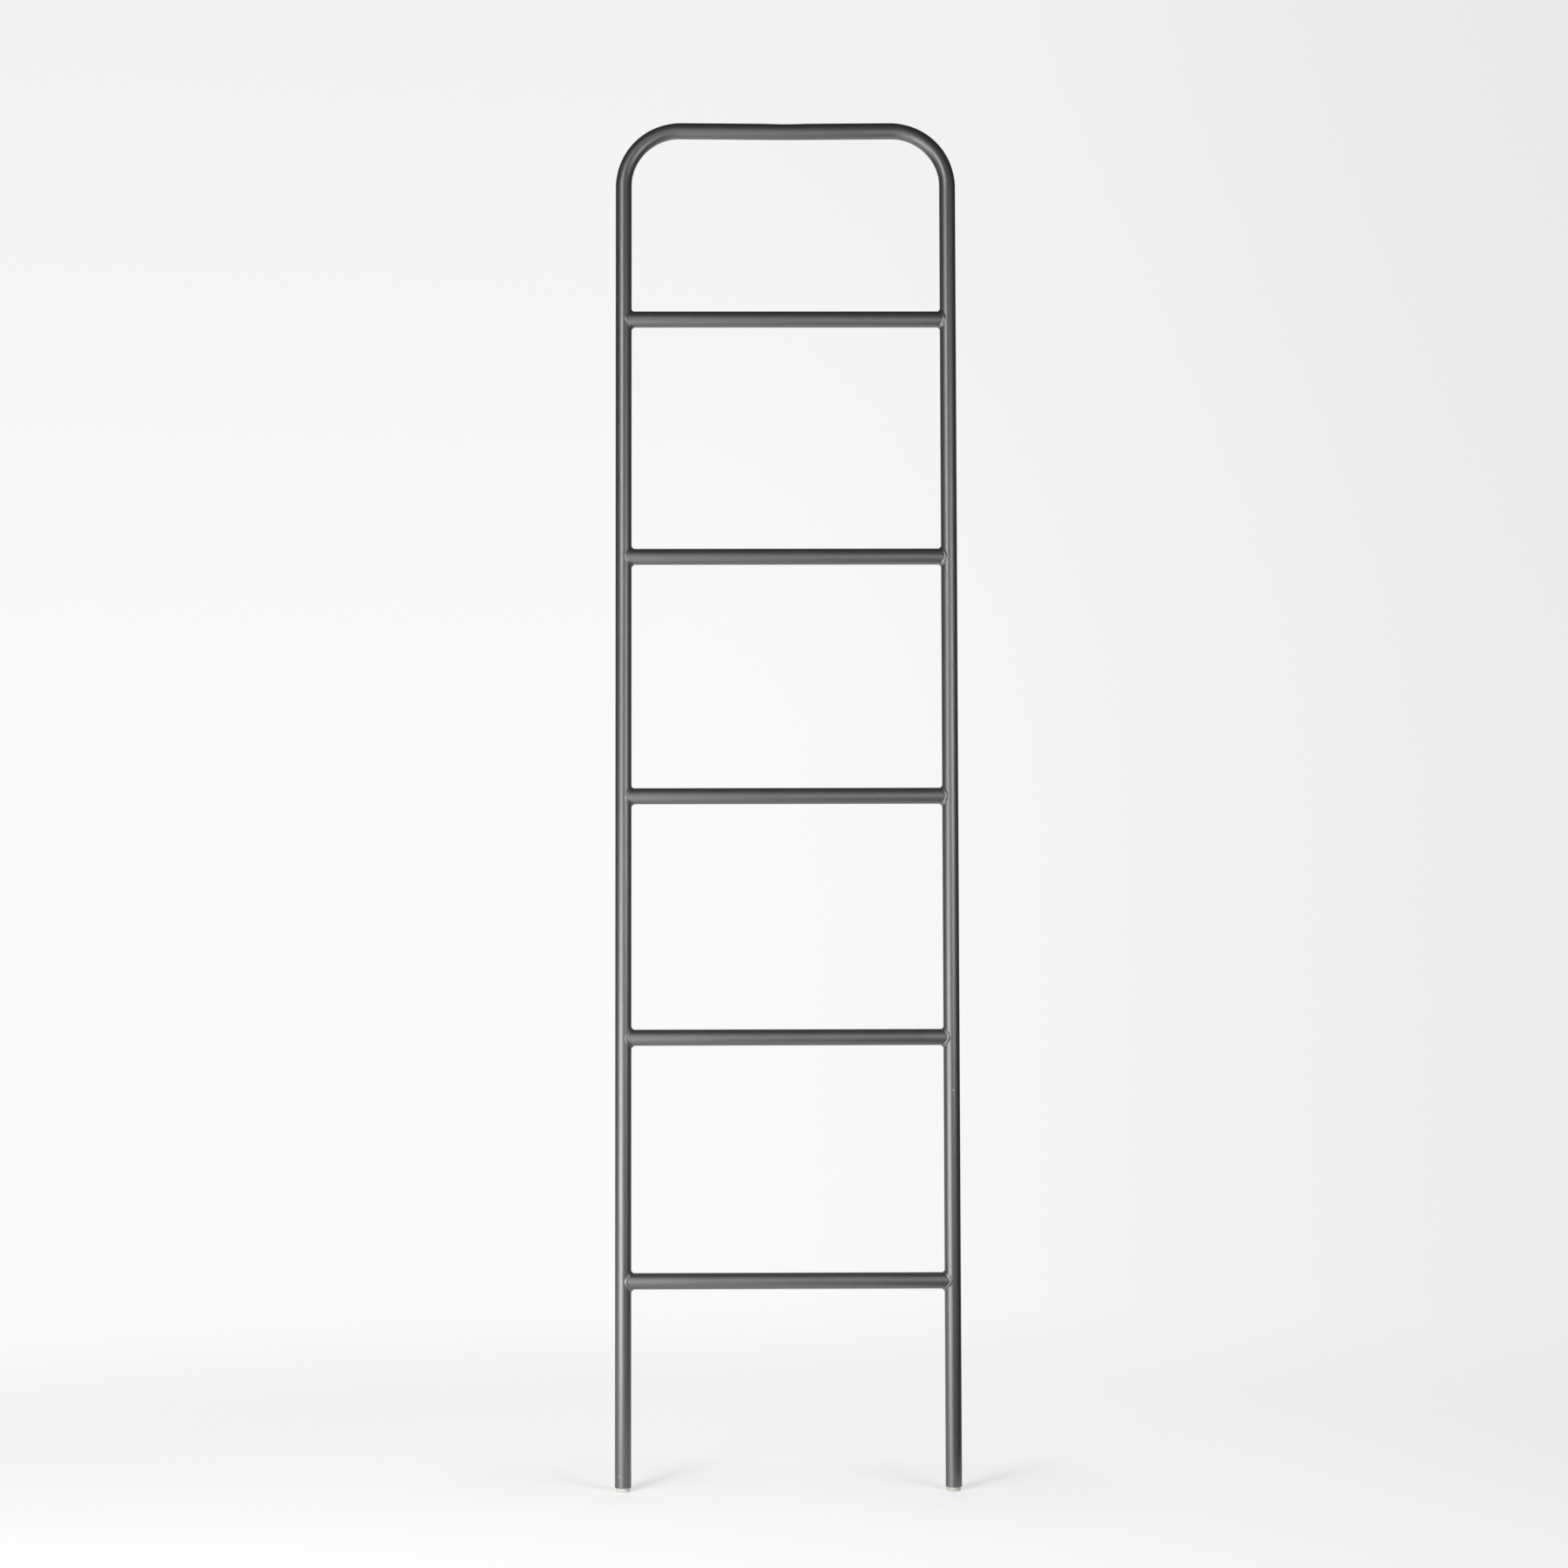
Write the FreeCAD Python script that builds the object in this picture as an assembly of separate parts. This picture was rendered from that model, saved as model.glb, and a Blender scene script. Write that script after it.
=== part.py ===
import FreeCAD, Part
import math
import os

# Storage ladder: two bent tube stiles butt-welded into a hoop, five welded rungs, two plug feet.
# Millimetres. X runs across the ladder, -Y is its front, +Z is up.
# The origin is on the floor, midway between the two feet.

Vec = FreeCAD.Vector
ORIGIN = Vec(0, 0, 0)
X_AXIS = Vec(1, 0, 0)
Z_AXIS = Vec(0, 0, 1)

# Overall sizes
overall_height = 1800.0
overall_width = 451.0

# Tube stock, the same for stiles and rungs
tube_diameter = 21.3
tube_wall = 2.0

# Hoop
bend_radius = 75.0

# Rungs, spread evenly from the lowest to the top one
rung_count = 5
lowest_rung_height = 271.0
top_rung_drop = 253.0

# Rung ends, cut to the stile's round with a small gap for fitting up
fit_up_gap = 0.2

# Fillet welds around the rung ends
weld_leg = 3.6
weld_crotch_bulge = 0.35
weld_front_bulge = 0.95
weld_toe_sink = 0.3
weld_section_count = 28

# Butt weld at the middle of the hoop, ground back on top
butt_root_gap = 1.0
butt_face_width = 2.6
grind_depth = 0.7
grind_length = 60.0

# Plug feet
foot_height = 5.5
foot_seat_width = 0.4
foot_edge_radius = 1.4
foot_stem_length = 16.0
foot_stem_wall = 2.0
foot_floor_thickness = 3.0
foot_rib_count = 4
foot_rib_height = 1.2
foot_rib_thickness = 1.2
foot_rib_clearance = 0.1

# Sizes worked out from the ones above
tube_radius = tube_diameter / 2
bore_radius = tube_radius - tube_wall
stile_x = overall_width / 2 - tube_radius
hoop_z = overall_height - tube_radius
bend_start_z = hoop_z - bend_radius
bend_end_x = stile_x - bend_radius
top_rung_height = hoop_z - top_rung_drop
rung_pitch = (top_rung_height - lowest_rung_height) / (rung_count - 1)
rung_heights = [lowest_rung_height + i * rung_pitch for i in range(rung_count)]


def tube_section(centre, normal):
    """Ring face of the tube stock."""
    disc, bore = (
        Part.Face(Part.Wire(Part.Circle(centre, normal, radius).toShape()))
        for radius in (tube_radius, bore_radius)
    )
    return disc.cut(bore).Faces[0]


def mirrored(shape):
    """The same piece on the other side of the ladder."""
    return shape.mirror(ORIGIN, X_AXIS)


def butt_weld_ring():
    """Weld metal that fills the vee between the two hoop halves."""
    root = butt_root_gap / 2
    face = butt_face_width / 2
    corners = [
        Vec(-root, 0, hoop_z + bore_radius),
        Vec(root, 0, hoop_z + bore_radius),
        Vec(face, 0, hoop_z + tube_radius),
        Vec(-face, 0, hoop_z + tube_radius),
    ]
    vee = Part.Face(Part.makePolygon(corners + corners[:1]))
    return vee.revolve(Vec(0, 0, hoop_z), X_AXIS, 360)


def grinding_disc():
    """Round that dips into the top of the hoop over the butt weld."""
    radius = (grind_length ** 2 / 4 + grind_depth ** 2) / (2 * grind_depth)
    base = Vec(0, -tube_diameter, overall_height - grind_depth + radius)
    return Part.makeCylinder(radius, 2 * tube_diameter, base, Vec(0, 1, 0))


def right_stile_tube():
    """Upright tube, bent over at the top and run to the middle of the hoop."""
    foot_end = Vec(stile_x, 0, foot_height)
    bend_start = Vec(stile_x, 0, bend_start_z)
    bend_end = Vec(bend_end_x, 0, hoop_z)
    hoop_middle = Vec(0, 0, hoop_z)
    on_bend = bend_radius * math.sqrt(0.5)
    bend_middle = Vec(bend_end_x + on_bend, 0, bend_start_z + on_bend)
    path = Part.Wire([
        Part.LineSegment(foot_end, bend_start).toShape(),
        Part.Arc(bend_start, bend_middle, bend_end).toShape(),
        Part.LineSegment(bend_end, hoop_middle).toShape(),
    ])
    tube = path.makePipe(tube_section(foot_end, Z_AXIS))
    return tube.cut(butt_weld_ring()).cut(grinding_disc())


def rung_tube(height):
    """Straight tube with both ends coped to fit against the stiles."""
    start = Vec(-stile_x, 0, height)
    tube = tube_section(start, X_AXIS).extrude(Vec(2 * stile_x, 0, 0))
    for side in (-1, 1):
        base = Vec(side * stile_x, 0, height - tube_diameter)
        tube = tube.cut(Part.makeCylinder(tube_radius + fit_up_gap, 2 * tube_diameter, base, Z_AXIS))
    return tube


def on_round(point, axis, radius):
    """The point moved square to an axis through the origin until it is this far from it."""
    along = axis * point.dot(axis)
    return along + (point - along).normalize() * radius


def weld_section(turn):
    """Cross section of the weld run at an angle around the rung, from the front over the crotch."""
    across = math.sin(turn)
    front = -math.cos(turn)
    seam = Vec(across, front, across) * tube_radius
    run = Vec(-front, across, -front).normalize()
    stile_normal = Vec(across, front, 0)
    rung_normal = Vec(0, front, across)
    outward = (stile_normal + rung_normal).normalize()
    stile_toe = on_round(seam + stile_normal.cross(run) * weld_leg, Z_AXIS, tube_radius)
    rung_toe = on_round(seam + run.cross(rung_normal) * weld_leg, X_AXIS, tube_radius)
    bulge = weld_crotch_bulge + (weld_front_bulge - weld_crotch_bulge) * front ** 2
    crown = (stile_toe + rung_toe) / 2 + outward * bulge
    stile_end = on_round(stile_toe, Z_AXIS, tube_radius - weld_toe_sink)
    rung_end = on_round(rung_toe, X_AXIS, tube_radius - weld_toe_sink)
    root = seam - outward * tube_wall
    return Part.Wire([
        Part.Arc(stile_end, crown, rung_end).toShape(),
        Part.LineSegment(rung_end, root).toShape(),
        Part.LineSegment(root, stile_end).toShape(),
    ])


def corner_weld():
    """Weld bead around a rung end, with the stile on the Z axis and the rung along +X."""
    reach = 2 * tube_diameter
    run_past = math.asin(weld_leg / tube_radius)
    step = (math.pi + 2 * run_past) / (weld_section_count - 1)
    sections = [weld_section(i * step - run_past) for i in range(weld_section_count)]
    run = Part.makeLoft(sections, True)
    upper = run.common(Part.makeBox(2 * reach, 2 * reach, reach, Vec(-reach, -reach, 0)))
    bead = upper.fuse(upper.mirror(ORIGIN, Z_AXIS))
    bead = bead.cut(Part.makeCylinder(tube_radius, 2 * reach, Vec(0, 0, -reach), Z_AXIS))
    return bead.cut(Part.makeCylinder(tube_radius, reach, ORIGIN, X_AXIS))


def plug_foot():
    """Plug with a round sole below the tube end and flexible ribs inside the bore."""
    sole_radius = bore_radius + foot_seat_width
    rib_radius = bore_radius - foot_rib_clearance
    core_radius = rib_radius - foot_rib_height
    hollow_radius = core_radius - foot_stem_wall
    edge_centre = Vec(sole_radius - foot_edge_radius, 0, foot_edge_radius)
    on_edge = foot_edge_radius * math.sqrt(0.5)
    stem_top = foot_height + foot_stem_length
    rib_pitch = foot_stem_length / (foot_rib_count + 1)
    flat_edge = Vec(edge_centre.x, 0, 0)
    side_edge = Vec(sole_radius, 0, foot_edge_radius)
    outline = [Vec(sole_radius, 0, foot_height), Vec(core_radius, 0, foot_height)]
    for i in range(foot_rib_count):
        rib_z = foot_height + (i + 1) * rib_pitch
        outline.append(Vec(core_radius, 0, rib_z - foot_rib_thickness / 2))
        outline.append(Vec(rib_radius, 0, rib_z - foot_rib_thickness / 2))
        outline.append(Vec(core_radius, 0, rib_z + foot_rib_thickness / 2))
    outline.append(Vec(core_radius, 0, stem_top))
    outline.append(Vec(hollow_radius, 0, stem_top))
    outline.append(Vec(hollow_radius, 0, foot_floor_thickness))
    outline.append(Vec(0, 0, foot_floor_thickness))
    edges = [
        Part.LineSegment(ORIGIN, flat_edge).toShape(),
        Part.Arc(flat_edge, edge_centre + Vec(on_edge, 0, -on_edge), side_edge).toShape(),
    ]
    corners = [side_edge] + outline + [ORIGIN]
    for begin, end in zip(corners, corners[1:]):
        edges.append(Part.LineSegment(begin, end).toShape())
    return Part.Face(Part.Wire(edges)).revolve(ORIGIN, Z_AXIS, 360)


def save(node, shape):
    """Writes one piece as its own file and reports it."""
    solid = shape.removeSplitter()
    solid.exportStep("parts/" + node + ".step")
    print(node, len(solid.Solids), solid.isValid(), round(solid.Volume, 1))


os.makedirs("parts", exist_ok=True)

right_stile = right_stile_tube()
save("right_stile", right_stile)
save("left_stile", mirrored(right_stile))
save("hoop_butt_weld", butt_weld_ring().cut(grinding_disc()))

left_weld = corner_weld().translated(Vec(-stile_x, 0, 0))
for number, height in enumerate(rung_heights, 1):
    rung = "rung_" + str(number)
    save(rung, rung_tube(height))
    save(rung + "_left_weld", left_weld.translated(Vec(0, 0, height)))
    save(rung + "_right_weld", mirrored(left_weld).translated(Vec(0, 0, height)))

foot = plug_foot()
save("left_foot", foot.translated(Vec(-stile_x, 0, 0)))
save("right_foot", foot.translated(Vec(stile_x, 0, 0)))
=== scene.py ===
"""Storage ladder in satin powder coat: tubes, weld beads and plug feet, in a small photo studio.

Metres. X runs across the ladder, -Y is its front and +Z is up. The origin is on the floor between the feet.
"""

import logging
import math
import random
from collections.abc import Iterable, Mapping, Sequence
from dataclasses import dataclass, field
from enum import Enum

import bmesh
import bpy
from mathutils import Matrix, Vector, noise


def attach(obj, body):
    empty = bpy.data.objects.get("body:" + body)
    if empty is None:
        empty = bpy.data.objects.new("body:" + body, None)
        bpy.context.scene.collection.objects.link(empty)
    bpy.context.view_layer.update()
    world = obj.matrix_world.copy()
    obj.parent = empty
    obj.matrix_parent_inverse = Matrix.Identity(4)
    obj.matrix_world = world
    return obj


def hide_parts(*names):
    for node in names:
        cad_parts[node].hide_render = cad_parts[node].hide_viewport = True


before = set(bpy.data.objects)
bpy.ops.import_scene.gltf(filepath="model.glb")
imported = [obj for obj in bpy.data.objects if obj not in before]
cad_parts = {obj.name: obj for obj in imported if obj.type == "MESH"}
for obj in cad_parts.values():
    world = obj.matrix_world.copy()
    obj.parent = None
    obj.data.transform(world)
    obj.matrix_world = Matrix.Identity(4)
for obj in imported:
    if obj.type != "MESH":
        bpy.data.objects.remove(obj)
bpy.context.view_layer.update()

LOG = logging.getLogger("storage_ladder")
MM = 0.001
TUBE_RADIUS = 10.65 * MM
BORE_RADIUS = 8.65 * MM
STILE_X = 214.85 * MM
HOOP_Z = 1789.35 * MM
QUARTER_TURN = math.pi / 2
NOISE_MIDDLE = 0.5
Colour = tuple[float, float, float]
Span = tuple[float, float]


class Side(Enum):
    """Side of the ladder, as the sign of X."""

    LEFT = -1
    RIGHT = 1

    @property
    def word(self) -> str:
        """The side's name in lower case."""
        return self.name.lower()


class Slot(Enum):
    """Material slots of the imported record."""

    COAT = "powder_coat"
    PLASTIC = "foot_plastic"


class Ends(Enum):
    """How the first and the last ring of a surface are closed."""

    JOINED = "to one another"
    CAPPED = "with a face each"
    LAST_CAPPED = "only the last, with a face"


class Signal:
    """A shader socket that takes part in sums and products."""

    def __init__(self, graph: "Graph", socket: bpy.types.NodeSocket | None) -> None:
        """Keeps the graph that the socket belongs to."""
        self.graph = graph
        self.socket = socket

    def _math(self, operation: str, first: "Term", second: "Term") -> "Signal":
        """Result of one Math node."""
        return self.graph.add("ShaderNodeMath", {"operation": operation}, {0: first, 1: second})

    def __add__(self, other: "Term") -> "Signal":
        """Sum."""
        return self._math("ADD", self, other)

    __radd__ = __add__

    def __sub__(self, other: "Term") -> "Signal":
        """Difference."""
        return self._math("SUBTRACT", self, other)

    def __rsub__(self, other: "Term") -> "Signal":
        """Difference from a number."""
        return self._math("SUBTRACT", other, self)

    def __mul__(self, other: "Term") -> "Signal":
        """Product."""
        return self._math("MULTIPLY", self, other)

    __rmul__ = __mul__

    @property
    def swing(self) -> "Signal":
        """Departure of a noise from its middle value."""
        return self - NOISE_MIDDLE

    def at_least(self, floor: "Term") -> "Signal":
        """The larger of the two."""
        return self._math("MAXIMUM", self, floor)

    def ramped(self, low: float, high: float) -> "Signal":
        """Smooth step from 0 at one value to 1 at another.

        Args:
            low: Value that gives 0.
            high: Value that gives 1, which may be the smaller of the two.

        Returns:
            The stepped signal.
        """
        settings = {"interpolation_type": "SMOOTHSTEP", "clamp": True}
        ends = {"Value": self, "From Min": low, "From Max": high, "To Min": 0.0, "To Max": 1.0}
        return self.graph.add("ShaderNodeMapRange", settings, ends)


Term = Signal | float | int


@dataclass(frozen=True)
class Layer:
    """One noise of a finish: its grain, and how far it tints, dulls and roughens the surface."""

    size: float
    detail: float
    harshness: float = 0.5
    tint: float = 0.0
    dulling: float = 0.0
    relief: float = 0.0


class Graph:
    """Node tree of one finish."""

    # The Mix node has sockets of the same names for other kinds of data, so those for colours go by number.
    MIX_FACTOR = 0
    MIX_FIRST = 6
    MIX_SECOND = 7
    MIX_RESULT = 2

    def __init__(self, tree: bpy.types.NodeTree) -> None:
        """Starts from an empty tree."""
        self.tree = tree
        tree.nodes.clear()

    def add(
        self,
        kind: str,
        settings: Mapping[str, object] | None = None,
        sockets: Mapping[str | int, object] | None = None,
        output: str | int = 0,
    ) -> Signal:
        """Adds a node.

        Args:
            kind: The node's type.
            settings: Properties of the node, set before its sockets.
            sockets: Values or signals by socket name or number.
            output: Name or number of the output that is wanted.

        Returns:
            That output, or an empty signal for a node that has none.
        """
        node = self.tree.nodes.new(kind)
        for key, value in (settings or {}).items():
            setattr(node, key, value)
        for key, value in (sockets or {}).items():
            if isinstance(value, Signal):
                self.tree.links.new(value.socket, node.inputs[key])
            else:
                node.inputs[key].default_value = value
        return Signal(self, node.outputs[output] if len(node.outputs) else None)

    def mix(self, factor: Term, first: Colour | Signal, second: Colour | Signal) -> Signal:
        """Blends two colours, with the factor as the share of the second."""
        sockets = {self.MIX_FACTOR: factor, self.MIX_FIRST: opaque(first), self.MIX_SECOND: opaque(second)}
        return self.add("ShaderNodeMix", {"data_type": "RGBA"}, sockets, self.MIX_RESULT)

    def blend(self, factor: Signal, first: Signal, second: Signal) -> Signal:
        """Blends two shaders, with the factor as the share of the second."""
        return self.add("ShaderNodeMixShader", sockets={0: factor, 1: first, 2: second})

    def part(self, vector: Signal, axis: str) -> Signal:
        """One coordinate of a vector."""
        return self.add("ShaderNodeSeparateXYZ", sockets={"Vector": vector}, output=axis)

    def noise(self, place: Signal, layer: Layer) -> Signal:
        """Noise of one layer at coordinates in metres, from 0 to 1."""
        grain = {"Scale": 1 / layer.size, "Detail": layer.detail, "Roughness": layer.harshness}
        return self.add("ShaderNodeTexNoise", {"noise_dimensions": "3D"}, {"Vector": place, **grain})

    def bump(self, height: Signal, strength: float, depth: float) -> Signal:
        """Normal of a surface with small relief on it."""
        sockets = {"Strength": strength, "Distance": depth, "Height": height}
        return self.add("ShaderNodeBump", sockets=sockets)


def opaque(colour: Colour | Signal) -> tuple[float, ...] | Signal:
    """Adds full alpha to a plain colour and leaves a signal as it is."""
    return colour if isinstance(colour, Signal) else (*colour, 1.0)


@dataclass(frozen=True)
class Finish:
    """What all finishes have in common."""

    name: str

    def shader(self, graph: Graph) -> Signal:
        """Lays out the nodes, which each finish does in its own way."""
        raise NotImplementedError

    def material(self) -> bpy.types.Material:
        """Builds the finish.

        Returns:
            The material.
        """
        material = bpy.data.materials.new(self.name)
        material.use_nodes = True
        graph = Graph(material.node_tree)
        graph.add("ShaderNodeOutputMaterial", sockets={"Surface": self.shader(graph)})
        return material


@dataclass(frozen=True)
class PowderCoat(Finish):
    """Satin anthracite powder coat with a fine sandy texture and a little dust on what looks up."""

    name: str = "powder_coat_anthracite"
    shade: Colour = (0.0243, 0.0265, 0.0285)
    light: Colour = (0.0312, 0.0340, 0.0365)
    light_share: float = 0.25
    dust: Colour = (0.13, 0.127, 0.12)
    roughness: float = 0.44
    refraction: float = 2.25
    grain: Layer = Layer(0.45 * MM, detail=2.0, harshness=0.6, tint=0.5, dulling=0.16, relief=0.55)
    peel: Layer = Layer(2.2 * MM, detail=1.0, tint=2.0, relief=0.9)
    cloud: Layer = Layer(45 * MM, detail=3.0, dulling=0.08)
    settling: Layer = Layer(7 * MM, detail=4.0, tint=0.10, dulling=0.06)
    settling_patches: Span = (0.45, 0.75)
    settling_slope: Span = (0.55, 1.0)
    speck_spacing: float = 9 * MM
    speck_size: Span = (0.035, 0.015)
    speck_tint: float = 0.25
    bump_strength: float = 0.45
    bump_depth: float = 0.10 * MM

    def shader(self, graph: Graph) -> Signal:
        """Lays out the nodes.

        Args:
            graph: The finish's node tree.

        Returns:
            The shader.
        """
        place = graph.add("ShaderNodeTexCoord", output="Object")
        grain = graph.noise(place, self.grain)
        peel = graph.noise(place, self.peel)
        cloud = graph.noise(place, self.cloud)
        normal = graph.add("ShaderNodeNewGeometry", output="Normal")
        upward = graph.part(normal, "Z").ramped(*self.settling_slope)
        settled = upward * graph.noise(place, self.settling).ramped(*self.settling_patches)
        spots = {"Vector": place, "Scale": 1 / self.speck_spacing}
        specks = graph.add("ShaderNodeTexVoronoi", {"feature": "F1"}, spots).ramped(*self.speck_size)
        coat = graph.mix(cloud, self.shade, self.light)
        lighter = grain.swing * self.grain.tint + peel.swing * self.peel.tint + self.light_share
        coat = graph.mix(lighter, coat, self.light)
        coat = graph.mix(settled * self.settling.tint + specks * self.speck_tint, coat, self.dust)
        rough = self.roughness + grain.swing * self.grain.dulling + cloud.swing * self.cloud.dulling
        rough = rough + settled * self.settling.dulling
        height = grain * self.grain.relief + peel * self.peel.relief
        sockets = {
            "Base Color": coat,
            "Roughness": rough,
            "Normal": graph.bump(height, self.bump_strength, self.bump_depth),
            "IOR": self.refraction,
        }
        return graph.add("ShaderNodeBsdfPrincipled", sockets=sockets)


@dataclass(frozen=True)
class MouldedPlastic(Finish):
    """Off-white moulded plastic, a little translucent, scuffed along its sole and darker there with painted
    contact shadow.
    """

    name: str = "moulded_plastic_off_white"
    body: Colour = (0.70, 0.71, 0.67)
    warm: Colour = (0.63, 0.595, 0.54)
    warm_patches: Span = (0.35, 0.75)
    scuff_and_shade_colour: Colour = (0.42, 0.40, 0.37)
    roughness: float = 0.42
    grain: Layer = Layer(0.25 * MM, detail=2.0, dulling=0.12, relief=0.4)
    cloud: Layer = Layer(4 * MM, detail=3.0, relief=0.6)
    scuffing: Layer = Layer(1.2 * MM, detail=3.0, tint=0.45, dulling=0.25)
    scuff_patches: Span = (0.4, 0.7)
    even_shade_and_scuff: float = 0.25
    scuff_and_shade_height: float = 1.6 * MM
    translucency: float = 0.4
    scatter: Colour = (1.0, 0.95, 0.85)
    scatter_depth: float = 3.0 * MM
    bump_strength: float = 0.4
    bump_depth: float = 0.05 * MM

    def shader(self, graph: Graph) -> Signal:
        """Lays out the nodes.

        Args:
            graph: The finish's node tree.

        Returns:
            The shader.
        """
        place = graph.add("ShaderNodeTexCoord", output="Object")
        grain = graph.noise(place, self.grain)
        cloud = graph.noise(place, self.cloud)
        # Along the sole: an even band of painted contact shadow, with patchy scuffs on top of it.
        low = graph.part(place, "Z").ramped(self.scuff_and_shade_height, 0.0)
        patches = graph.noise(place, self.scuffing).ramped(*self.scuff_patches)
        scuff_and_shade = low * (self.even_shade_and_scuff + self.scuffing.tint * patches)
        colour = graph.mix(cloud.ramped(*self.warm_patches), self.body, self.warm)
        colour = graph.mix(scuff_and_shade, colour, self.scuff_and_shade_colour)
        rough = self.roughness + grain.swing * self.grain.dulling + scuff_and_shade * self.scuffing.dulling
        height = grain * self.grain.relief + cloud * self.cloud.relief
        sockets = {
            "Base Color": colour,
            "Roughness": rough,
            "Normal": graph.bump(height, self.bump_strength, self.bump_depth),
            "Subsurface Weight": self.translucency,
            "Subsurface Radius": self.scatter,
            "Subsurface Scale": self.scatter_depth,
        }
        return graph.add("ShaderNodeBsdfPrincipled", sockets=sockets)


@dataclass(frozen=True)
class StudioFloor(Finish):
    """Pale painted floor with soft shadows near the feet, which thins out into the pale air further off."""

    dim: Colour
    dim_share: float
    dimming: Span = (-0.24, 1.8)
    paint: Colour = (0.86, 0.86, 0.855)
    near_shade: Colour = (0.85, 0.85, 0.85)
    near_glow: Colour = (0.46, 0.46, 0.458)
    near: Span = (0.36, 0.08)
    shade: Colour = (0.25, 0.25, 0.25)
    glow: Colour = (0.80, 0.80, 0.798)
    thinning: Span = (0.9, 2.3)
    front_thinning: Span = (-0.55, -0.95)

    @staticmethod
    def lit(graph: Graph, shade: Colour, glow: Colour) -> Signal:
        """Paint that takes lamp light and shadow on top of a steady glow.

        Args:
            graph: The floor's node tree.
            shade: Share of the lamps' light.
            glow: The steady part.

        Returns:
            The shader.
        """
        diffuse = graph.add("ShaderNodeBsdfDiffuse", sockets={"Color": opaque(shade)})
        steady = graph.add("ShaderNodeEmission", sockets={"Color": opaque(glow), "Strength": 1.0})
        return graph.add("ShaderNodeAddShader", sockets={0: diffuse, 1: steady})

    def shader(self, graph: Graph) -> Signal:
        """Lays out the nodes.

        Args:
            graph: The finish's node tree.

        Returns:
            Plain paint for stray light, and the pale floor for what is seen or mirrored.
        """
        place = graph.add("ShaderNodeTexCoord", output="Object")
        distance = graph.add("ShaderNodeVectorMath", {"operation": "LENGTH"}, {0: place}, "Value")
        # Folded over the middle, the floor has one foot for both.
        folded = graph.add("ShaderNodeVectorMath", {"operation": "ABSOLUTE"}, {0: place})
        from_foot = {0: folded, 1: (STILE_X, 0, 0)}
        apart = graph.add("ShaderNodeVectorMath", {"operation": "DISTANCE"}, from_foot, "Value")
        close = apart.ramped(*self.near)
        rightward = graph.part(place, "X").ramped(*self.dimming)
        ahead = graph.part(place, "Y").ramped(*self.front_thinning)
        far = distance.ramped(*self.thinning).at_least(ahead)
        seen = graph.add("ShaderNodeLightPath", output="Is Camera Ray")
        for kind in ("Is Glossy Ray", "Is Transmission Ray"):
            seen = seen.at_least(graph.add("ShaderNodeLightPath", output=kind))
        paint = graph.add("ShaderNodeBsdfDiffuse", sockets={"Color": opaque(self.paint)})
        middle = self.lit(graph, self.shade, self.glow)
        near = self.lit(graph, self.near_shade, self.near_glow)
        dim = graph.add("ShaderNodeEmission", sockets={"Color": opaque(self.dim), "Strength": 1.0})
        air = graph.add("ShaderNodeBsdfTransparent")
        pale = graph.blend(close, middle, near)
        pale = graph.blend(rightward * self.dim_share, pale, dim)
        pale = graph.blend(far, pale, air)
        return graph.blend(seen, paint, pale)


@dataclass(frozen=True)
class DarkPaint(Finish):
    """Dull dark paint or cloth of the studio."""

    paint: Colour = (0.05, 0.05, 0.05)

    def shader(self, graph: Graph) -> Signal:
        """Lays out the one node."""
        return graph.add("ShaderNodeBsdfDiffuse", sockets={"Color": opaque(self.paint)})


@dataclass
class Surface:
    """Points and faces of one piece."""

    points: list[Vector] = field(default_factory=list)
    faces: list[tuple[int, ...]] = field(default_factory=list)

    @classmethod
    def from_rings(cls, rings: Iterable[Iterable[Vector]], ends: Ends) -> "Surface":
        """Joins rings of points one after another.

        Args:
            rings: The rings in order, each with as many points.
            ends: How the first and the last ring are closed.

        Returns:
            The surface.
        """
        surface = cls()
        numbers = [surface.ring(points) for points in rings]
        for first, second in zip(numbers, numbers[1:]):
            surface.bridge(first, second)
        if ends is Ends.JOINED:
            surface.bridge(numbers[-1], numbers[0])
        elif ends is Ends.CAPPED:
            surface.faces += [tuple(numbers[0]), tuple(numbers[-1])]
        else:
            surface.faces.append(tuple(numbers[-1]))
        return surface

    def ring(self, points: Iterable[Vector]) -> list[int]:
        """Adds a closed ring of points.

        Args:
            points: The ring's points in order.

        Returns:
            Their numbers.
        """
        start = len(self.points)
        self.points.extend(points)
        return list(range(start, len(self.points)))

    def bridge(self, first: Sequence[int], second: Sequence[int]) -> None:
        """Joins two rings with a band of quads.

        Args:
            first: Numbers of one ring.
            second: Numbers of the other, as many.
        """
        count = len(first)
        for i in range(count):
            j = (i + 1) % count
            self.faces.append((first[i], first[j], second[j], second[i]))

    def build(self, name: str, material: bpy.types.Material, crease: float = 40.0) -> bpy.types.Object:
        """Makes the mesh object.

        Args:
            name: Name of the piece.
            material: Its finish.
            crease: Angle in degrees from which an edge stays sharp.

        Returns:
            The object, linked to the scene.
        """
        mesh = bpy.data.meshes.new(name)
        mesh.from_pydata(self.points, [], self.faces)
        work = bmesh.new()
        work.from_mesh(mesh)
        bmesh.ops.recalc_face_normals(work, faces=work.faces)
        work.to_mesh(mesh)
        work.free()
        mesh.shade_smooth()
        mesh.set_sharp_from_angle(angle=math.radians(crease))
        mesh.materials.append(material)
        piece = bpy.data.objects.new(name, mesh)
        bpy.context.scene.collection.objects.link(piece)
        return piece


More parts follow.
